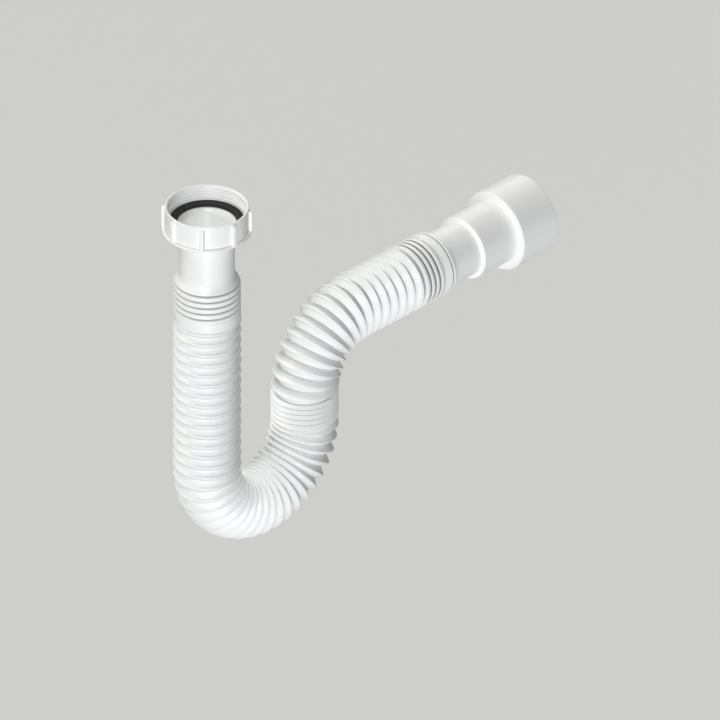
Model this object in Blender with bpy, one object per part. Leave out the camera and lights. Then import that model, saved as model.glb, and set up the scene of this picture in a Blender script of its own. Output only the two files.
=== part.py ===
"""Extendable flexible waste pipe: coupling nut, sealing washer, folded pipe and stepped outlet.

Metres, +Z up. The origin is the middle of the washer's upper, sealing face, on the nut's axis. The
pipe drops from there, turns up through a trap bend, turns again at an elbow and leaves along +X.
Its centreline lies in the plane Y = 0, and each place on it is a point (x, z) with a heading, the
direction of flow, measured in that plane from +X towards +Z.
"""
import math

import bmesh
import bpy
from mathutils import Matrix

# Clearances
seam_gap = 0.0003
seat_gap = 0.0003
nut_neck_clearance = 0.0006
nut_bore_clearance = 0.0008

# Facets around the axis
turned_facets = 24
fold_facets = 20

# Coupling nut, for a one and a half inch pipe thread
nut_rim_height = 0.0091
nut_bore_diameter = 0.0460
nut_wall = 0.0021
nut_lip_thickness = 0.0024
nut_ring_overhang = 0.00165
nut_ring_height = 0.0013
nut_rib_count = 8
nut_rib_height = 0.0022
nut_rib_width = 0.0020
nut_rib_root_width = 0.0030
nut_rib_below_rim = 0.0018
nut_rib_end_slope = 0.0008
nut_rib_phase = math.radians(38.6)
nut_facets_between_ribs = 3

# Sealing washer
washer_thickness = 0.0022
washer_bore_diameter = 0.0350

# Inlet tail: flange, neck, shoulder and the cuff that grips the pipe
tail_flange_thickness = 0.0021
neck_diameter = 0.0333
neck_wall = 0.0012
neck_length = 0.0329
mouth_flare = 0.00165
mouth_depth = 0.0027
shoulder_length = 0.0042
cuff_inset = 0.00015
cuff_wall = 0.0022
inlet_cuff_length = 0.0264
groove_depth = 0.0016
groove_width = 0.0016
groove_pitch = 0.0040
inlet_groove_count = 5
inlet_first_groove = 0.0010

# Folded pipe: one blown tube, folded like a bellows
fold_crest_diameter = 0.0407
fold_depth = 0.0037
fold_wall = 0.0009
open_pitch = 0.0071
closed_pitch = 0.0036
fold_angle = math.radians(9.0)
bend_radius = 0.0410
collar_length = 0.0120
collar_shoulder = 0.0030
first_fold_cover = 0.0026
leg_folds = 15
trap_folds = 20
riser_folds = 5
elbow_folds = 10
run_folds = 6

# Outlet cuff
outlet_cuff_length = 0.0236
outlet_end_wall = 0.0035
outlet_groove_count = 3
outlet_first_groove = 0.0025

# Stepped outlet adaptor, for three sizes of pipe
adaptor_wall = 0.0018
adaptor_collar_thickness = 0.0025
small_diameter = 0.0341
small_length = 0.0243
medium_diameter = 0.0397
medium_length = 0.0272
large_diameter = 0.0500
large_length = 0.0293
step_wall = 0.0020
step_chamfer = 0.0009

# Colours
white_plastic = (0.87, 0.88, 0.88, 1.0)
moulded_white = (0.90, 0.90, 0.90, 1.0)
black_rubber = (0.015, 0.015, 0.016, 1.0)

# Diameters that follow from others
nut_barrel_diameter = nut_bore_diameter + 2 * nut_wall
nut_ring_diameter = nut_barrel_diameter + 2 * nut_ring_overhang
nut_rib_tip_diameter = nut_barrel_diameter + 2 * nut_rib_height
flange_diameter = nut_bore_diameter - 2 * nut_bore_clearance
cuff_diameter = fold_crest_diameter - 2 * cuff_inset
cuff_bore = cuff_diameter - 2 * cuff_wall
collar_diameter = cuff_bore - 2 * seat_gap

# Levels down the inlet, measured as depths below the washer's upper face
flange_top = washer_thickness + seat_gap
flange_bottom = flange_top + tail_flange_thickness
lip_top = flange_bottom + seat_gap
lip_bottom = lip_top + nut_lip_thickness
neck_end = flange_bottom + neck_length
cuff_top = neck_end + shoulder_length
cuff_end = cuff_top + inlet_cuff_length
leg_top = cuff_end + seam_gap - first_fold_cover

# The heading at the inlet
down = -math.pi / 2


def ahead(place, distance):
    """The place a straight distance further along its heading."""
    x, z, heading = place
    return x + distance * math.cos(heading), z + distance * math.sin(heading), heading


def around_bend(place, angle, turn):
    """The place after an arc of bend_radius; turn is 1 towards the left of the heading, -1 right."""
    x, z, heading = place
    centre_x = x - turn * bend_radius * math.sin(heading)
    centre_z = z + turn * bend_radius * math.cos(heading)
    new_heading = heading + turn * angle
    new_x = centre_x + turn * bend_radius * math.sin(new_heading)
    new_z = centre_z - turn * bend_radius * math.cos(new_heading)
    return new_x, new_z, new_heading


def material(name, colour, roughness):
    """A plastic or rubber finish."""
    finish = bpy.data.materials.new(name)
    finish.use_nodes = True
    shader = finish.node_tree.nodes["Principled BSDF"]
    shader.inputs["Base Color"].default_value = colour
    shader.inputs["Roughness"].default_value = roughness
    shader.inputs["Metallic"].default_value = 0.0
    finish.diffuse_color = colour
    return finish


def ring(place, radius, facets):
    """Points of a circle that the centreline passes through squarely."""
    x, z, heading = place
    points = []
    for k in range(facets):
        turn = 2 * math.pi * k / facets
        side = radius * math.cos(turn)
        points.append((x - side * math.sin(heading), radius * math.sin(turn), z + side * math.cos(heading)))
    return points


def closed_wall(name, rings, finish):
    """An object whose surface joins each ring of points to the next, and the last to the first."""
    bm = bmesh.new()
    rows = [[bm.verts.new(point) for point in points] for points in rings]
    for row, following in zip(rows, rows[1:] + rows[:1]):
        for k in range(len(row)):
            after = (k + 1) % len(row)
            bm.faces.new((row[k], row[after], following[after], following[k]))
    bmesh.ops.recalc_face_normals(bm, faces=bm.faces)
    mesh = bpy.data.meshes.new(name)
    bm.to_mesh(mesh)
    bm.free()
    mesh.shade_smooth()
    mesh.set_sharp_from_angle(angle=math.radians(35.0))
    mesh.materials.append(finish)
    piece = bpy.data.objects.new(name, mesh)
    bpy.context.collection.objects.link(piece)
    return piece


def turned(name, start, profile, finish):
    """A turned piece: profile is a closed outline of (distance along the axis, diameter)."""
    rings = [ring(ahead(start, distance), diameter / 2, turned_facets) for distance, diameter in profile]
    return closed_wall(name, rings, finish)


def set_origin(piece, point):
    """Moves an object's origin to a point, such as one on its joint's axis, and leaves its shape."""
    piece.data.transform(Matrix.Translation([-value for value in point]))
    piece.location = point


def grooves(first, count, diameter):
    """Outline of V grooves cut round a cuff, as (distance, diameter)."""
    outline = []
    for k in range(count):
        middle = first + k * groove_pitch
        outline.append((middle - groove_width / 2, diameter))
        outline.append((middle, diameter - 2 * groove_depth))
        outline.append((middle + groove_width / 2, diameter))
    return outline


def fold_stations(count, pitch):
    """Stations (distance or angle, diameter) of valleys and crests in turn, from valley to valley."""
    valley_diameter = fold_crest_diameter - 2 * fold_depth
    stations = [(0.0, valley_diameter)]
    for k in range(count):
        stations.append(((k + 0.5) * pitch, fold_crest_diameter))
        stations.append(((k + 1) * pitch, valley_diameter))
    return stations


def folded_pipe(name, stations, place_at, finish):
    """A length of the folded pipe, of even wall, through stations of (distance or angle, diameter)."""
    outer = [ring(place_at(station), diameter / 2, fold_facets) for station, diameter in stations]
    inner = [ring(place_at(station), diameter / 2 - fold_wall, fold_facets) for station, diameter in stations]
    return closed_wall(name, outer + inner[::-1], finish)


def straight_folds(name, start, count, pitch, finish, collar_before=False, collar_after=False):
    """A straight length, which ends in a plain collar where a cuff grips it, or else short of the seam.

    The inlet's cuff also covers the start of the first fold, which is plain until it comes out.
    """
    end = count * pitch
    stations = fold_stations(count, pitch)
    if collar_before:
        stations[0] = (first_fold_cover, collar_diameter)
        stations = [(-collar_length, collar_diameter)] + stations
    else:
        stations[0] = (seam_gap, stations[0][1])
    if collar_after:
        stations += [(end + collar_shoulder, collar_diameter), (end + collar_length, collar_diameter)]
    else:
        stations[-1] = (end - seam_gap, stations[-1][1])
    return folded_pipe(name, stations, lambda distance: ahead(start, distance), finish)


def bent_folds(name, start, count, turn, finish):
    """A bent length, each fold opened by the same angle."""
    stations = fold_stations(count, fold_angle)
    return folded_pipe(name, stations, lambda angle: around_bend(start, angle, turn), finish)


def nut_angles():
    """Angles round the nut with, for each, True on a rib's tip."""
    tip = nut_rib_width / nut_rib_tip_diameter
    root = nut_rib_root_width / nut_barrel_diameter
    spacing = 2 * math.pi / nut_rib_count
    angles = []
    for k in range(nut_rib_count):
        middle = nut_rib_phase + k * spacing
        angles += [(middle - root, False), (middle - tip, True), (middle + tip, True), (middle + root, False)]
        plain = spacing - 2 * root
        for step in range(1, nut_facets_between_ribs + 1):
            angles.append((middle + root + plain * step / (nut_facets_between_ribs + 1), False))
    return angles


def coupling_nut(finish):
    """The nut: a ribbed barrel on a plain ring, with an inner lip that hooks under the tail's flange."""
    lip_bore = neck_diameter + 2 * nut_neck_clearance
    ring_top = nut_ring_height - lip_bottom
    rib_top = nut_rim_height - nut_rib_below_rim
    outline = [
        (-lip_bottom, nut_ring_diameter, nut_ring_diameter),
        (ring_top, nut_ring_diameter, nut_ring_diameter),
        (ring_top, nut_barrel_diameter, nut_rib_tip_diameter),
        (rib_top, nut_barrel_diameter, nut_rib_tip_diameter),
        (rib_top + nut_rib_end_slope, nut_barrel_diameter, nut_barrel_diameter),
        (nut_rim_height, nut_barrel_diameter, nut_barrel_diameter),
        (nut_rim_height, nut_bore_diameter, nut_bore_diameter),
        (-lip_top, nut_bore_diameter, nut_bore_diameter),
        (-lip_top, lip_bore, lip_bore),
        (-lip_bottom, lip_bore, lip_bore),
    ]
    rings = []
    for height, plain, rib in outline:
        row = []
        for angle, on_rib in nut_angles():
            radius = (rib if on_rib else plain) / 2
            row.append((radius * math.cos(angle), radius * math.sin(angle), height))
        rings.append(row)
    return closed_wall("coupling_nut", rings, finish)


def sealing_washer(inlet, finish):
    """The flat rubber ring between the tail's flange and the fitting above."""
    profile = [
        (0.0, washer_bore_diameter),
        (0.0, flange_diameter),
        (washer_thickness, flange_diameter),
        (washer_thickness, washer_bore_diameter),
    ]
    return turned("sealing_washer", inlet, profile, finish)


def inlet_tail(inlet, finish):
    """The moulded tail: a flange with a flared mouth, a plain neck, and a grooved cuff over the collar."""
    neck_bore = neck_diameter - 2 * neck_wall
    outside = [
        (flange_top, flange_diameter),
        (flange_bottom, flange_diameter),
        (flange_bottom, neck_diameter),
        (neck_end, neck_diameter),
        (cuff_top, cuff_diameter),
    ]
    outside += grooves(cuff_top + inlet_first_groove, inlet_groove_count, cuff_diameter)
    outside.append((cuff_end, cuff_diameter))
    inside = [
        (cuff_end, cuff_bore),
        (leg_top - collar_length - seat_gap, cuff_bore),
        (neck_end, neck_bore),
        (flange_top + mouth_depth, neck_bore),
        (flange_top, neck_bore + 2 * mouth_flare),
    ]
    return turned("inlet_tail", inlet, outside + inside, finish)


def outlet_cuff(run_end, finish):
    """The grooved cuff that grips the pipe's last collar and holds the adaptor by its end wall."""
    end_bore = small_diameter + 2 * seat_gap
    length = seam_gap + outlet_cuff_length
    outside = [(seam_gap, cuff_diameter)]
    outside += grooves(seam_gap + outlet_first_groove, outlet_groove_count, cuff_diameter)
    outside.append((length, cuff_diameter))
    inside = [
        (length, end_bore),
        (length - outlet_end_wall, end_bore),
        (length - outlet_end_wall, cuff_bore),
        (seam_gap, cuff_bore),
    ]
    return turned("outlet_cuff", run_end, outside + inside, finish)


def outlet_adaptor(run_end, finish):
    """The stepped end: a retaining collar inside the cuff, then three diameters of pipe in turn."""
    cuff_face = seam_gap + outlet_cuff_length
    collar_end = cuff_face - outlet_end_wall - seat_gap
    collar_start = collar_end - adaptor_collar_thickness
    first_step = cuff_face + small_length
    second_step = first_step + medium_length
    end = second_step + large_length
    outside = [
        (collar_start, collar_diameter),
        (collar_end, collar_diameter),
        (collar_end, small_diameter),
        (first_step, small_diameter),
        (first_step, medium_diameter - 2 * step_chamfer),
        (first_step + step_chamfer, medium_diameter),
        (second_step, medium_diameter),
        (second_step, large_diameter - 2 * step_chamfer),
        (second_step + step_chamfer, large_diameter),
        (end, large_diameter),
    ]
    inside = [
        (end, large_diameter - 2 * adaptor_wall),
        (second_step + step_wall, large_diameter - 2 * adaptor_wall),
        (second_step + step_wall, medium_diameter - 2 * adaptor_wall),
        (first_step + step_wall, medium_diameter - 2 * adaptor_wall),
        (first_step + step_wall, small_diameter - 2 * adaptor_wall),
        (collar_start, small_diameter - 2 * adaptor_wall),
    ]
    return turned("outlet_adaptor", run_end, outside + inside, finish)


def build():
    """Makes every piece, following the pipe from the nut to the outlet."""
    pipe_white = material("white_polypropylene", white_plastic, 0.35)
    fitting_white = material("white_moulding", moulded_white, 0.30)
    rubber = material("black_rubber", black_rubber, 0.60)

    inlet = (0.0, 0.0, down)
    leg_start = ahead(inlet, leg_top)
    trap_start = ahead(leg_start, leg_folds * open_pitch)
    riser_start = around_bend(trap_start, trap_folds * fold_angle, 1)
    elbow_start = ahead(riser_start, riser_folds * closed_pitch)
    run_start = around_bend(elbow_start, elbow_folds * fold_angle, -1)
    run_end = ahead(run_start, run_folds * open_pitch)
    trap_centre = (trap_start[0] + bend_radius, 0.0, trap_start[1])
    elbow_centre = (elbow_start[0] + bend_radius, 0.0, elbow_start[1])

    coupling_nut(fitting_white)
    sealing_washer(inlet, rubber)
    inlet_tail(inlet, fitting_white)
    straight_folds("bellows_leg", leg_start, leg_folds, open_pitch, pipe_white, collar_before=True)
    bent_folds("bellows_trap", trap_start, trap_folds, 1, pipe_white)
    riser = straight_folds("bellows_riser", riser_start, riser_folds, closed_pitch, pipe_white)
    bent_folds("bellows_elbow", elbow_start, elbow_folds, -1, pipe_white)
    run = straight_folds("bellows_run", run_start, run_folds, open_pitch, pipe_white, collar_after=True)
    outlet_cuff(run_end, fitting_white)
    outlet_adaptor(run_end, fitting_white)
    set_origin(riser, trap_centre)
    set_origin(run, elbow_centre)


for leftover in list(bpy.data.objects):
    bpy.data.objects.remove(leftover, do_unlink=True)
build()
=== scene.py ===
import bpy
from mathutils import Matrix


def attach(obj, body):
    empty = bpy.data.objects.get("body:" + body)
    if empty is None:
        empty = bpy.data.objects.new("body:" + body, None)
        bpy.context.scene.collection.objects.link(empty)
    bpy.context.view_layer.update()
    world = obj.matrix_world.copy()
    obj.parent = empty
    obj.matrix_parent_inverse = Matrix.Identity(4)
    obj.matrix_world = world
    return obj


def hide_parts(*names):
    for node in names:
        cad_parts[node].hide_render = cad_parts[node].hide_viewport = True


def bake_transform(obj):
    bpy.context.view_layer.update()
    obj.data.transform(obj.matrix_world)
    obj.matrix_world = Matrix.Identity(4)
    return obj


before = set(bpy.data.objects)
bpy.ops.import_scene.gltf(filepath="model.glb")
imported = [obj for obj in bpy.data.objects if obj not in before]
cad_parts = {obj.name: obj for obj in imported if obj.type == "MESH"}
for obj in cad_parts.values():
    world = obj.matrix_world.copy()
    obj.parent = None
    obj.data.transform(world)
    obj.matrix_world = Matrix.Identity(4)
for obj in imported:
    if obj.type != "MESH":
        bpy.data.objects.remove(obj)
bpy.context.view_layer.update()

import math

import bpy
import numpy as np
from mathutils import Matrix, Vector


# The camera. It looks without perspective from the side of the trap bend, a little from above, so
# that the nut's mouth, the whole length of folds and the outlet's steps all show.
def direction(bearing, height):
    """The unit vector towards a place at that height above the horizon, on that bearing from -Y
    towards +X: (sin b cos h, -cos b cos h, sin h)."""
    return Vector(
        (
            math.sin(bearing) * math.cos(height),
            -math.cos(bearing) * math.cos(height),
            math.sin(height),
        )
    )


view_azimuth, view_elevation = math.radians(-45.0), math.radians(31.6)
view_width, view_centre, view_depth = 0.42755, (0.0909, -0.0836), 20.0

across = Vector((math.cos(view_azimuth), math.sin(view_azimuth), 0.0))
towards_eye = direction(view_azimuth, view_elevation)
upward = towards_eye.cross(across)
eye = across * view_centre[0] + upward * view_centre[1] + towards_eye
view_axes = Matrix((across, upward, towards_eye)).transposed().to_4x4()
camera = bpy.data.objects.new("camera", bpy.data.cameras.new("camera"))
camera.data.type = "ORTHO"
camera.data.ortho_scale = view_width
camera.data.clip_end = view_depth
camera.matrix_world = Matrix.Translation(eye) @ view_axes
bpy.context.scene.collection.objects.link(camera)
bpy.context.scene.camera = camera


# The studio: a plain pale grey floor well below the hanging pipe, soft lamps in front from low to
# high, a warmer one from above behind the left side, and a faint one behind, as the photo is lit.
class Shade:
    """A socket in a shader's tree. Operators on it add Math nodes, and node() adds any other."""

    def __init__(self, tree, socket=None):
        self.tree = tree
        self.socket = socket

    def node(self, kind, settings=None, inputs=None, output=0):
        """A new node with its settings, then its inputs' values or links. Gives one output."""
        made = self.tree.nodes.new("ShaderNode" + kind)
        for name, value in (settings or {}).items():
            setattr(made, name, value)
        for name, value in (inputs or {}).items():
            if isinstance(value, Shade):
                self.tree.links.new(value.socket, made.inputs[name])
            else:
                made.inputs[name].default_value = value
        return Shade(self.tree, made.outputs[output])

    def into(self, shader, name):
        """Feeds the shader's input of that name."""
        self.tree.links.new(self.socket, shader.inputs[name])

    def maths(self, operation, other):
        return self.node("Math", {"operation": operation}, {0: self, 1: other})

    def __add__(self, other):
        return self.maths("ADD", other)

    def __mul__(self, other):
        return self.maths("MULTIPLY", other)

    __radd__ = __add__
    __rmul__ = __mul__


def mixed(factor, first, second):
    """The first colour where the factor is 0 and the second where it is 1."""
    return factor.node("Mix", {"data_type": "RGBA"}, {0: factor, 6: first, 7: second}, 2)


def new_finish(name):
    """A material, the empty start of its tree, and its shader."""
    finish = bpy.data.materials.new(name)
    finish.use_nodes = True
    return finish, Shade(finish.node_tree), finish.node_tree.nodes["Principled BSDF"]


def seen_directly(tree):
    """1 for rays from the camera, from a reflection or through glass, and 0 for light's own: the
    sum of the three kinds, at most 1."""
    rays = tree.nodes.new("ShaderNodeLightPath").outputs
    seen = Shade(tree, rays["Is Camera Ray"]) + Shade(tree, rays["Is Glossy Ray"])
    seen = seen + Shade(tree, rays["Is Transmission Ray"])
    return seen.maths("MINIMUM", 1.0)


floor_height, floor_half = -0.55, 30.0
floor_grey, floor_bounce = (0.74, 0.74, 0.74, 1.0), (0.22, 0.22, 0.22, 1.0)
backdrop_grey, sky_light, sky_tint = 0.604, 0.02, (0.97, 0.985, 1.0, 1.0)

floor_mesh = bpy.data.meshes.new("floor")
floor_signs = [(-1, -1), (1, -1), (1, 1), (-1, 1)]
floor_corners = [(x * floor_half, y * floor_half, floor_height) for x, y in floor_signs]
floor_mesh.from_pydata(floor_corners, [], [(0, 1, 2, 3)])
floor_paint, floor_tree, floor_shader = new_finish("floor paint")
floor_tone = mixed(seen_directly(floor_tree.tree), floor_bounce, floor_grey)
floor_tone.into(floor_shader, "Base Color")
floor_shader.inputs["Roughness"].default_value = 1.0
floor_shader.inputs["Specular IOR Level"].default_value = 0.0
floor_mesh.materials.append(floor_paint)
floor = bpy.data.objects.new("floor", floor_mesh)
bpy.context.scene.collection.objects.link(floor)
floor.visible_shadow = False

world = bpy.data.worlds.new("studio")
world.use_nodes = True
bpy.context.scene.world = world
background = world.node_tree.nodes["Background"]
background.inputs["Color"].default_value = sky_tint
strength = sky_light + (backdrop_grey - sky_light) * seen_directly(world.node_tree)
strength.into(background, "Strength")


def lamp(name, side_degrees, height_degrees, brightness, softness_degrees, colour, shadow=True):
    """A sun lamp, turned by side_degrees from the camera's own bearing and that high. The ones
    without shadows fill the nut's mouth and the hollows, which the photo shows nearly as bright."""
    bearing = view_azimuth + math.radians(side_degrees)
    sun = bpy.data.lights.new(name, "SUN")
    sun.energy = brightness * math.pi
    sun.angle = math.radians(softness_degrees)
    sun.color = colour
    sun.use_shadow = shadow
    shown = bpy.data.objects.new(name, sun)
    shown.rotation_mode = "QUATERNION"
    from_there = direction(bearing, math.radians(height_degrees))
    shown.rotation_quaternion = from_there.to_track_quat("Z", "Y")
    bpy.context.scene.collection.objects.link(shown)


cool_light, plain_light, warm_light = (0.972, 0.99, 1.0), (0.995, 1.0, 1.0), (1.0, 0.985, 0.93)
lamp("low front lamp", 0.0, -30.0, 0.25, 40.0, cool_light)
lamp("level front lamp", -5.0, 8.0, 0.36, 40.0, cool_light)
lamp("top lamp", -118.0, 54.0, 0.40, 40.0, warm_light)
lamp("back lamp", -180.0, 30.0, 0.19, 40.0, plain_light)
lamp("low fill", 0.0, -30.0, 0.13, 20.0, cool_light, False)
lamp("high fill", -7.0, 28.0, 0.37, 20.0, plain_light, False)
lamp("top fill", -118.0, 54.0, 0.21, 20.0, warm_light, False)
bpy.context.scene.view_settings.view_transform = "Standard"


# The coupling nut, a white polypropylene moulding. Eight ribs stand on a plain ring at its foot, a
# one and a half inch pipe thread is moulded in its bore, and its lip hooks under the tail's flange.
def noise(place, scale, detail):
    """A grey that wanders between 0 and 1, with about that many waves to a metre."""
    return place.node("TexNoise", None, {"Vector": place, "Scale": scale, "Detail": detail}, "Fac")


def white_moulding(name, base, roughness):
    """A white plastic: patches a shade warmer and duller wander over it, with a fine grain. A
    point attribute mixes in a dark grey: painted shade in grooves, hollows and corners."""
    warm_tint, cool_tint, painted_shade_grey = (1.0, 0.992, 0.972), (0.982, 0.99, 1.0), (0.09, 0.095, 0.10, 1.0)
    patches_dull, grain_dulls, painted_shade_dulls = 0.06, 0.05, 0.3
    finish, start, shader = new_finish(name)
    place = start.node("TexCoord", output="Object")
    patches = noise(place, 55.0, 2.0)
    grain = noise(place, 2600.0, 2.0)
    # A point attribute, 0 to 1, of painted shade: it turns the white towards the dark grey and
    # dulls it.
    painted_shade = start.node("Attribute", {"attribute_name": "painted_shade"}, None, "Fac")
    warm_white = tuple(value * tint for value, tint in zip(base, warm_tint)) + (1.0,)
    cool_white = tuple(value * tint for value, tint in zip(base, cool_tint)) + (1.0,)
    colour = mixed(painted_shade, mixed(patches, warm_white, cool_white), painted_shade_grey)
    dull = roughness - 0.05 + patches_dull * patches + grain_dulls * grain + painted_shade_dulls * painted_shade
    bump = start.node("Bump", None, {"Strength": 0.10, "Distance": 0.00005, "Height": grain})
    colour.into(shader, "Base Color")
    dull.into(shader, "Roughness")
    bump.into(shader, "Normal")
    shader.inputs["IOR"].default_value = 1.49
    return finish


def rounded(corners, steps=5, support=0.0001):
    """A closed outline from rows of (distance, radius, rounding). Each corner is a quadratic arc,
    (1-t)^2 a + 2t(1-t) corner + t^2 b, where a and b lie its rounding before and after it, and a
    support point on either side keeps the flats flat."""
    longest_arc, longest_support = 0.42, 0.05
    rows = np.asarray(corners, float)
    corners, radii = rows[:, :2], rows[:, 2]
    before, after = np.roll(corners, 1, 0) - corners, np.roll(corners, -1, 0) - corners
    before_length = np.linalg.norm(before, axis=1)
    after_length = np.linalg.norm(after, axis=1)
    shorter = np.minimum(before_length, after_length)
    reach = np.minimum(radii, longest_arc * shorter)[:, None]
    margin = np.minimum(support, longest_support * shorter)[:, None]
    before, after = before / before_length[:, None], after / after_length[:, None]
    a, b = corners + before * reach, corners + after * reach
    t = np.linspace(0, 1, steps)[None, :, None]
    arcs = (1 - t) ** 2 * a[:, None] + 2 * t * (1 - t) * corners[:, None] + t**2 * b[:, None]
    first, last = (a + before * margin)[:, None], (b + after * margin)[:, None]
    return np.concatenate((first, arcs, last), 1).reshape(-1, 2)


def skin(name, points, finish, sharp_degrees=40.0, painted_shade=None):
    """A closed surface through a grid of points (ring, place round it), wrapped both ways. The
    painted shade, 0 to 1, is a grid of the same shape, or one column of it for the rings."""
    index = np.arange(points.shape[0] * points.shape[1]).reshape(points.shape[:2])
    beside, ahead = np.roll(index, -1, 1), np.roll(index, -1, 0)
    quads = np.stack((index, beside, np.roll(beside, -1, 0), ahead), -1).reshape(-1, 4)
    mesh = bpy.data.meshes.new(name)
    mesh.from_pydata(points.reshape(-1, 3).tolist(), [], quads.tolist())
    mesh.shade_smooth()
    mesh.set_sharp_from_angle(angle=math.radians(sharp_degrees))
    mesh.materials.append(finish)
    if painted_shade is not None:
        amount = np.broadcast_to(painted_shade, points.shape[:2]).astype(np.float32)
        mesh.attributes.new("painted_shade", "FLOAT", "POINT").data.foreach_set("value", amount.ravel())
    piece = bpy.data.objects.new(name, mesh)
    bpy.context.scene.collection.objects.link(piece)
    return piece


moulding = white_moulding("white moulding", (0.88, 0.885, 0.885), 0.32)
nut_foot, nut_ring_top = -0.0073, -0.0060
nut_rim, rib_top, rib_chamfer, rib_end_step = 0.0091, 0.0073, 0.0006, 0.0002
barrel_radius, ring_radius, rib_radius = 0.0251, 0.02675, 0.0273
lip_bore, lip_top = 0.01725, -0.0049
rim_bore, chamfer_depth, bore_radius = 0.0241, 0.0011, 0.0230
plain_corners = [
    (nut_foot, ring_radius, 0.0006),
    (nut_ring_top, ring_radius, 0.0004),
    (nut_ring_top, barrel_radius, 0.0003),
    (rib_top, barrel_radius, 0.0006),
    (rib_top + rib_chamfer, barrel_radius, 0.0004),
    (nut_rim, barrel_radius, 0.0005),
    (nut_rim, rim_bore, 0.0003),
    (nut_rim - chamfer_depth, bore_radius, 0.0005),
    (lip_top, bore_radius, 0.0003),
    (lip_top, lip_bore, 0.0003),
    (nut_foot, lip_bore, 0.0003),
]
ribbed_corners = list(plain_corners)
ribbed_corners[2] = (nut_ring_top, rib_radius, 0.0003)
ribbed_corners[3] = (rib_top, rib_radius, 0.0006)
ribbed_corners[4] = (rib_top + rib_chamfer, barrel_radius + rib_end_step, 0.0004)

# Each corner of an outline has this many rings, and the bore's own rings follow its eighth corner.
corner_rings, bore_rings = 7, 84
bore_heights = np.linspace(nut_rim - chamfer_depth - 0.0006, -0.0010, bore_rings)
bore = np.stack((bore_heights, np.full(bore_rings, bore_radius)), 1)
bore_first = 8 * corner_rings
plain, ribbed = (
    np.concatenate((outline[:bore_first], bore, outline[bore_first:]))
    for outline in (rounded(plain_corners), rounded(ribbed_corners))
)

# Round the nut, the places crowd at each rib, whose flanks rise as 3s^2 - 2s^3.
rib_count, rib_bearing = 8, math.radians(38.6)
rib_half_tip, rib_half_foot, rib_reach = 0.00085, 0.00155, 0.0020
rib_turn = 2 * math.pi / rib_count
near_rib = np.linspace(-rib_reach, rib_reach, 21) / barrel_radius
between_ribs = np.linspace(near_rib[-1], rib_turn + near_rib[0], 16)[1:-1]
one_rib = np.concatenate((near_rib, between_ribs))
angles = (rib_bearing + rib_turn * np.arange(rib_count)[:, None] + one_rib[None]).ravel()
from_rib = np.tile(np.abs(one_rib), rib_count) * barrel_radius
rise = np.clip((rib_half_foot - from_rib) / (rib_half_foot - rib_half_tip), 0, 1)
rise = (rise * rise * (3 - 2 * rise))[None, :, None]
nut_outline = plain[:, None] * (1 - rise) + ribbed[:, None] * rise
height, radius = nut_outline[..., 0], nut_outline[..., 1]

# The thread: a rounded wave between its root and its crest, once in a pitch and once round the
# bore, which fades out towards both ends.
thread_pitch, thread_root, thread_crest, thread_sharpness = 0.002309, 0.02375, 0.02265, 0.93
thread_start, thread_run_in, thread_end, thread_run_out = 0.0002, 0.0010, 0.0066, 0.0007
in_bore = np.zeros((len(plain), 1))
in_bore[bore_first : bore_first + bore_rings] = 1.0
turns = height / thread_pitch - angles[None] / (2 * math.pi)
wave = np.arcsin(thread_sharpness * np.cos(2 * math.pi * turns)) / math.asin(thread_sharpness)
fade = np.clip((height - thread_start) / thread_run_in, 0, 1)
fade = fade * np.clip((thread_end - height) / thread_run_out, 0, 1)
thread = (thread_root + thread_crest) / 2 + (thread_root - thread_crest) / 2 * wave
radius = radius + (thread - radius) * fade * in_bore
nut_points = np.stack((radius * np.cos(angles), radius * np.sin(angles), height), -1)

# Painted shade darkens the thread's roots and the barrel between the ribs where it meets the
# foot's ring; a painted shadow line runs along the foot's lower edge.
root_painted_shade, edge_painted_shadow, ledge_painted_shade = 0.20, 0.5, 0.45
nut_painted_shade = root_painted_shade * np.clip(wave - 0.1, 0, 1) * fade * in_bore
nut_painted_shade[:4] = edge_painted_shadow
ledge = slice(2 * corner_rings, 3 * corner_rings)
over_ledge = np.array([0.0, 0.5, 1.0, 1.0, 1.0, 0.5, 0.0])[:, None]
nut_painted_shade[ledge] = ledge_painted_shade * over_ledge * (1 - rise[..., 0])
nut = skin("coupling-nut", nut_points, moulding, painted_shade=nut_painted_shade)
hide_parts("coupling_nut")
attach(nut, "nut")


# The sealing washer, a flat ring of black rubber. It lies loose in the nut on the tail's flange,
# and the thread squeezes it against the fitting above.
def black_rubber(name):
    """Black rubber: a dull dark grey with a fine grain and a faint bloom."""
    finish, start, shader = new_finish(name)
    place = start.node("TexCoord", output="Object")
    bloom = noise(place, 160.0, 3.0)
    grain = noise(place, 3200.0, 2.0)
    colour = mixed(bloom, (0.007, 0.007, 0.007, 1.0), (0.014, 0.014, 0.013, 1.0))
    bump = start.node("Bump", None, {"Strength": 0.35, "Distance": 0.0001, "Height": grain})
    colour.into(shader, "Base Color")
    (0.66 + 0.12 * bloom).into(shader, "Roughness")
    bump.into(shader, "Normal")
    shader.inputs["Specular IOR Level"].default_value = 0.35
    return finish


def turned(name, x, z, heading, outline, sides, finish, painted_shade=None):
    """A turned piece: each (distance, radius) of the outline is a circle square to the axis, which
    runs from (x, 0, z) along the heading, measured from +X towards +Z."""
    around = 2 * math.pi * np.arange(sides) / sides
    distance, radius = outline[:, 0, None], outline[:, 1, None]
    side, out = radius * np.cos(around), -radius * np.sin(around)
    along_x = x + distance * math.cos(heading) - side * math.sin(heading)
    along_z = z + distance * math.sin(heading) + side * math.cos(heading)
    return skin(name, np.stack((along_x, out, along_z), -1), finish, painted_shade=painted_shade)


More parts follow.
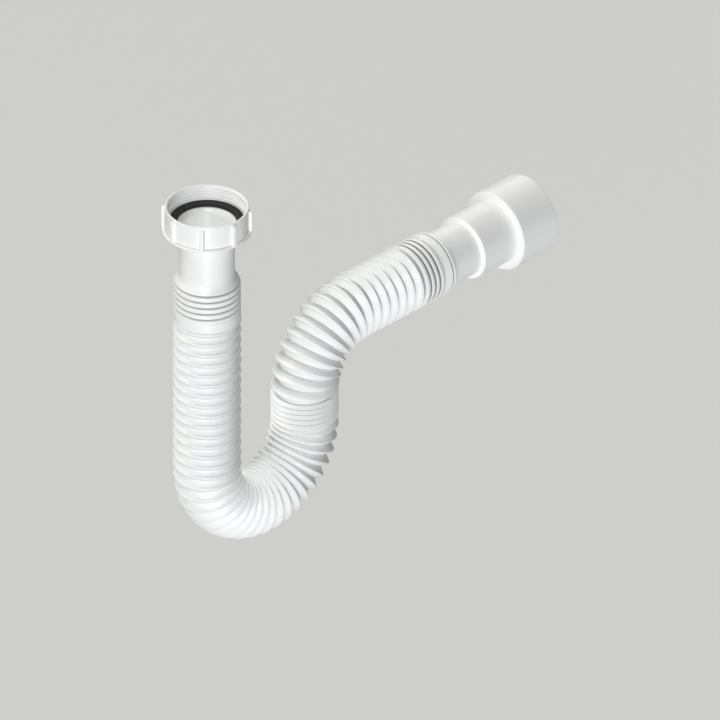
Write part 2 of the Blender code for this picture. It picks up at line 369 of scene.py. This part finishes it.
down, level = -math.pi / 2, 0.0
washer_sides, washer_edge = 160, 0.0003
washer_thickness, washer_bore, washer_radius = 0.0022, 0.0175, 0.0222
washer_corners = [
    (0.0, washer_bore, washer_edge),
    (0.0, washer_radius, washer_edge),
    (washer_thickness, washer_radius, washer_edge),
    (washer_thickness, washer_bore, washer_edge),
]
rubber = black_rubber("black rubber")
washer_outline = rounded(washer_corners)
washer = turned("sealing-washer", 0.0, 0.0, down, washer_outline, washer_sides, rubber)
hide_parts("sealing_washer")
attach(washer, "inlet")


# The inlet tail, one white moulding: a flange that the nut pulls up, a plain neck, and a cuff with
# five grooves. The folded pipe's plain collar is pushed into the cuff and welded there.
moulding_sides = 192
cuff_radius, cuff_bore, groove_edge = 0.0202, 0.0180, 0.0007


def grooved(places, width, depth):
    """The corners of V grooves in a cuff, at those middles: two edges and a root each."""
    corners = []
    for middle in places:
        corners += [
            (middle - width / 2, cuff_radius, groove_edge),
            (middle, cuff_radius - depth, width * 0.10),
            (middle + width / 2, cuff_radius, groove_edge),
        ]
    return corners


def groove_painted_shade(outline, first, last, depth, most):
    """Painted shade for each ring of an outline: none down to a hair below the cuff's radius, then
    more up to the most at that depth, and only between the first and last distance and on the
    outside."""
    hair, deepest_groove = 0.00015, 0.0021
    distance, radius = outline[:, :1], outline[:, 1:]
    below = np.clip((cuff_radius - hair - radius) / depth, 0, 1)
    outside = radius > cuff_radius - deepest_groove
    return most * below * (distance > first) * (distance < last) * outside


flange_top, flange_bottom, flange_radius = 0.0025, 0.0046, 0.0222
neck_radius, neck_bore, neck_end = 0.01665, 0.01545, 0.0375
mouth_radius, mouth_depth = 0.0171, 0.0052
cuff_top, cuff_end, cuff_floor, shoulder_radius = 0.0419, 0.0681, 0.0538, 0.0197
tail_corners = [
    (flange_top, flange_radius, 0.0004),
    (flange_bottom, flange_radius, 0.0004),
    (flange_bottom, neck_radius, 0.0005),
    (neck_end, neck_radius, 0.0040),
    (cuff_top, shoulder_radius, 0.0006),
    (cuff_top + 0.0007, cuff_radius - 0.0018, 0.00018),
    (cuff_top + 0.0015, cuff_radius, 0.0006),
]
tail_corners += grooved((0.0467, 0.0507, 0.0547, 0.0587), 0.0015, 0.0019)
tail_corners += grooved((0.0614,), 0.0010, 0.0004)
tail_corners += [
    (cuff_end, cuff_radius, 0.0007),
    (cuff_end, cuff_bore, 0.0002),
    (cuff_floor, cuff_bore, 0.0005),
    (neck_end, neck_bore, 0.002),
    (mouth_depth, neck_bore, 0.0012),
    (flange_top, mouth_radius, 0.0003),
]
tail_outline = rounded(tail_corners)
# Painted shade darkens the grooves' floors and the cuff's end edge.
tail_painted_shade = groove_painted_shade(tail_outline, cuff_top + 0.0001, cuff_end - 0.0010, 0.0008, 0.62)
tail_painted_shade += groove_painted_shade(tail_outline, cuff_end - 0.0003, cuff_end + 0.0010, 0.0005, 0.45)
tail = turned("inlet-tail", 0.0, 0.0, down, tail_outline, moulding_sides, moulding, tail_painted_shade)
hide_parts("inlet_tail")
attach(tail, "inlet")


# The folded pipe, one tube of thin white polypropylene, blown with folds that each carry a small
# bead on the crest. It is five lengths here, because each one closes, opens or bends about its own
# joint.
folding = white_moulding("white folded tube", (0.845, 0.86, 0.862), 0.36)
open_pitch, closed_pitch, fold_angle, bend_radius = 0.0071, 0.0036, math.radians(9.0), 0.0410
valley_radius, crest_radius, fold_wall = 0.01665, 0.02035, 0.0009
fold_sides, fold_sharp_degrees = 128, 60.0
fold_corners = [
    (0.0000, valley_radius, 0.0005),
    (0.00255, 0.01930, 0.00025),
    (0.00285, 0.02005, 0.00030),
    (0.00330, crest_radius, 0.00020),
    (0.00375, crest_radius, 0.00020),
    (0.0043, 0.01980, 0.00040),
    (0.0061, 0.017775, 0.00040),
]
inside_corners = [
    (0.0000, valley_radius - fold_wall, 0.0006),
    (0.00355, crest_radius - fold_wall - 0.0001, 0.0006),
]

# Painted shade in a fold: a faint line in the crease beside the bead, and these amounts at these
# places from valley to valley. On the bends it is scaled by 1 + mean + swing times the cosine of
# the angle from the bearing that leans outwards most, a painted shade on one side round the tube.
crease_place, crease_spread, crease_most = 0.00265, 0.00015, 0.14
fold_shade_places = (0.0, 0.0043, 0.0048, 0.0058, 0.0061, 0.0068, 0.0070, 0.0071)
leg_painted_shade = (0.0, 0.0, 0.0, 0.15, 0.20, 0.31, 0.45, 0.0)
trap_painted_shade = (0.0, 0.0, 0.12, 0.18, 0.20, 0.31, 0.45, 0.0)
riser_painted_shade = (0.0, 0.0, 0.06, 0.08, 0.58, 0.52, 0.20, 0.0)
elbow_painted_shade = (0.0, 0.0, 0.18, 0.21, 0.22, 0.32, 0.45, 0.0)
run_painted_shade = (0.0, 0.0, 0.0, 0.05, 0.06, 0.20, 0.45, 0.0)
side_shade_mean, side_shade_swing, side_shade_bearing = 0.15, 0.9, math.radians(-45.0)
most_painted_shade, collar_painted_shade = 0.58, 0.4


def fold_run(count, corners, steps):
    """Stations (folds along, radius) of count folds from valley to valley: the corners of one fold
    repeated, each corner rounded as a quadratic arc, and cut square at both ends."""
    hair, length = 1e-6, count * open_pitch
    shift = np.zeros((count + 2, 1, 3))
    shift[:, 0, 0] = np.arange(-1, count + 1) * open_pitch
    many = (np.array(corners) + shift).reshape(-1, 3)
    arcs = rounded(many, steps, 0.0).reshape(len(many), steps + 2, 2)[:, 1:-1].reshape(-1, 2)
    inside = arcs[(arcs[:, 0] > hair) & (arcs[:, 0] < length - hair)]
    bottom = arcs[np.argmin(np.abs(arcs[:, 0])), 1]
    return np.concatenate(([(0.0, bottom)], inside, [(length, bottom)])) / (open_pitch, 1.0)


def straight_line(x, z, heading, pitch):
    """The centreline's (x, z, heading) after a number of folds of that pitch."""

    def place(folds):
        along_x = x + folds * pitch * math.cos(heading)
        along_z = z + folds * pitch * math.sin(heading)
        return along_x, along_z, np.full_like(folds, heading)

    return place


def bend_line(x, z, heading, turn):
    """The centreline's (x, z, heading) after a number of folds round a bend, which turns left at 1
    and right at -1: the point bend_radius from the bend's centre, whose bearing grows by a
    fold_angle each fold."""
    centre_x = x - turn * bend_radius * math.sin(heading)
    centre_z = z + turn * bend_radius * math.cos(heading)

    def place(folds):
        now = heading + turn * folds * fold_angle
        along_x = centre_x + turn * bend_radius * np.sin(now)
        along_z = centre_z - turn * bend_radius * np.cos(now)
        return along_x, along_z, now

    return place


def folded_length(name, node, count, place, painted_shade_values, side_shade=0, before=(), after=()):
    """A length of folds: circles of each station's radius, square to the centreline at its place,
    with the stations of a plain collar before or after them. Each point is first put at its share
    of the length, eased by 0.5 - sin(arcsin(1 - 2s) / 3), which undoes 3s^2 - 2s^3, and only then
    at its real place."""
    collar_gap, collar_seam = 0.03, 0.04
    outer = fold_run(count, fold_corners, 4)
    inner = fold_run(count, inside_corners, 3)[::-1]
    start = before[-1][0] if before else 0.0
    if before:
        outer = np.concatenate((before, outer[outer[:, 0] > start + collar_gap]))
        collar_inside = np.array(before)[::-1] - (0.0, fold_wall)
        inner = np.concatenate((inner[inner[:, 0] > start + collar_gap], collar_inside))
    if after:
        outer = np.concatenate((outer[:-1], after))
        inner = np.concatenate((np.array(after)[::-1] - (0.0, fold_wall), inner[1:]))
    stations = np.concatenate((outer, inner))
    folds, radius = stations[:, 0], stations[:, 1, None]
    around = 2 * math.pi * np.arange(fold_sides) / fold_sides
    x, z, heading = (np.asarray(value)[:, None] for value in place(folds))
    side, out = radius * np.cos(around), -radius * np.sin(around)
    points = np.stack((x - side * np.sin(heading), out, z + side * np.cos(heading)), -1)

    within = np.mod(folds, 1.0) * open_pitch
    painted_shade = np.interp(within, fold_shade_places, painted_shade_values)
    painted_shade += crease_most * np.exp(-(((within - crease_place) / crease_spread) ** 2))
    # Painted shade also darkens the pipe where its collar meets the folds, at the cuff's end.
    if before:
        painted_shade[np.abs(folds - start) < collar_seam] = collar_painted_shade
    painted_shade *= np.arange(len(stations)) < len(outer)
    side_shading = 1 + side_shade * (side_shade_mean + side_shade_swing * np.cos(around - side_shade_bearing))
    painted_shade = np.clip(painted_shade[:, None] * side_shading, 0, most_painted_shade)
    piece = skin(name, points, folding, fold_sharp_degrees, painted_shade)

    share = np.clip((folds - start) / (count - start), 0, 1)
    shares = np.zeros(points.shape)
    shares[..., 0] = (0.5 - np.sin(np.arcsin(1 - 2 * share) / 3))[:, None]
    piece.data.vertices.foreach_set("co", shares.astype(np.float32).ravel())
    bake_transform(piece)
    piece.data.vertices.foreach_set("co", points.astype(np.float32).ravel())
    piece.data.update()
    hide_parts(node)


leg_count, trap_count, riser_count, elbow_count, run_count = 15, 20, 5, 10, 6
leg_top = -0.0658
leg_end = leg_top - leg_count * open_pitch
riser_x, riser_end = 2 * bend_radius, leg_end + riser_count * closed_pitch
run_start, run_height = 3 * bend_radius, riser_end + bend_radius
leg_line = straight_line(0.0, leg_top, down, open_pitch)
trap_line = bend_line(0.0, leg_end, down, 1)
riser_line = straight_line(riser_x, leg_end, -down, closed_pitch)
elbow_line = bend_line(riser_x, riser_end, -down, -1)
run_line = straight_line(run_start, run_height, level, open_pitch)

# The plain collars at the pipe's ends, 12 mm into the cuffs, each as two stations.
collar_radius, collar_folds = 0.0177, 0.0120 / open_pitch
leg_collar_end, run_collar_start = 0.345, 0.42
collar_in_tail = ((-collar_folds, collar_radius), (leg_collar_end, collar_radius))
collar_in_cuff = (
    (run_count + run_collar_start, collar_radius),
    (run_count + collar_folds, collar_radius),
)
folded_length(
    "folded-leg",
    "bellows_leg",
    leg_count,
    leg_line,
    leg_painted_shade,
    before=collar_in_tail,
)
folded_length(
    "folded-trap-bend", "bellows_trap", trap_count, trap_line, trap_painted_shade, 1
)
folded_length(
    "folded-riser", "bellows_riser", riser_count, riser_line, riser_painted_shade
)
folded_length(
    "folded-elbow", "bellows_elbow", elbow_count, elbow_line, elbow_painted_shade, 1
)
folded_length(
    "folded-run",
    "bellows_run",
    run_count,
    run_line,
    run_painted_shade,
    after=collar_in_cuff,
)


# The outlet cuff, a white moulding with three deep grooves and a fine one beside them. It grips the
# pipe's last collar, and its end wall, behind a fine line, holds the adaptor in.
run_end = run_start + run_count * open_pitch
cuff_start, cuff_face, end_wall, end_bore = 0.0003, 0.0239, 0.0035, 0.01735
cuff_corners = [(cuff_start, cuff_radius, 0.0005)]
cuff_corners += grooved((0.0034, 0.00725, 0.0111), 0.0016, 0.0019)
cuff_corners += grooved((0.01495,), 0.0011, 0.0008)
cuff_corners += [
    (0.0158, cuff_radius - 0.0011, 0.0005),
    (0.02105, cuff_radius, 0.0002),
    (0.0214, cuff_radius - 0.0008, 0.0001),
    (0.0218, cuff_radius - 0.0005, 0.0002),
    (0.0229, cuff_radius, 0.0004),
    (cuff_face, cuff_radius, 0.0005),
    (cuff_face, end_bore, 0.0003),
    (cuff_face - end_wall, end_bore, 0.0002),
    (cuff_face - end_wall, cuff_bore, 0.0002),
    (cuff_start, cuff_bore, 0.0002),
]
cuff_outline = rounded(cuff_corners)
# Painted shade darkens the grooves' floors and the fine line before the end wall.
cuff_painted_shade = groove_painted_shade(cuff_outline, cuff_start, 0.0156, 0.0006, 0.85)
cuff_painted_shade += groove_painted_shade(cuff_outline, 0.0212, 0.0222, 0.0003, 0.75)
cuff = turned(
    "outlet-cuff", run_end, run_height, level, cuff_outline, moulding_sides, moulding, cuff_painted_shade
)
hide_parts("outlet_cuff")
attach(cuff, "outlet")


# The outlet adaptor, one white moulding in three diameters, so that it pushes into or over the
# usual sizes of waste pipe. Its collar snaps behind the cuff's end wall.
adaptor_wall, step_wall = 0.0018, 0.0020
small_radius, medium_radius, large_radius = 0.01705, 0.01985, 0.0250
first_step = cuff_face + 0.0243
second_step = first_step + 0.0272
adaptor_end = second_step + 0.0293
collar_end = cuff_face - end_wall - 0.0003
collar_start = collar_end - 0.0025
adaptor_corners = [
    (collar_start, collar_radius, 0.0002),
    (collar_end, collar_radius, 0.0002),
    (collar_end, small_radius, 0.0002),
    (first_step, small_radius, 0.0005),
    (first_step, medium_radius, 0.0011),
    (second_step, medium_radius, 0.0006),
    (second_step, large_radius, 0.0015),
    (adaptor_end, large_radius, 0.0006),
    (adaptor_end, large_radius - adaptor_wall, 0.0005),
    (second_step + step_wall, large_radius - adaptor_wall, 0.0008),
    (second_step + step_wall, medium_radius - adaptor_wall, 0.0008),
    (first_step + step_wall, medium_radius - adaptor_wall, 0.0008),
    (first_step + step_wall, small_radius - adaptor_wall, 0.0008),
    (collar_start, small_radius - adaptor_wall, 0.0003),
]
adaptor_steps = 7
adaptor_outline = rounded(adaptor_corners, adaptor_steps)

# A little painted shade darkens the inner corner at the second step, the outline's sixth corner.
step_corner = 5 * (adaptor_steps + 2)
adaptor_painted_shade = np.zeros((len(adaptor_outline), 1))
adaptor_painted_shade[step_corner + 1 : step_corner + 5] = 0.2
adaptor = turned(
    "outlet-adaptor",
    run_end,
    run_height,
    level,
    adaptor_outline,
    moulding_sides,
    moulding,
    adaptor_painted_shade,
)
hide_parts("outlet_adaptor")
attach(adaptor, "outlet")
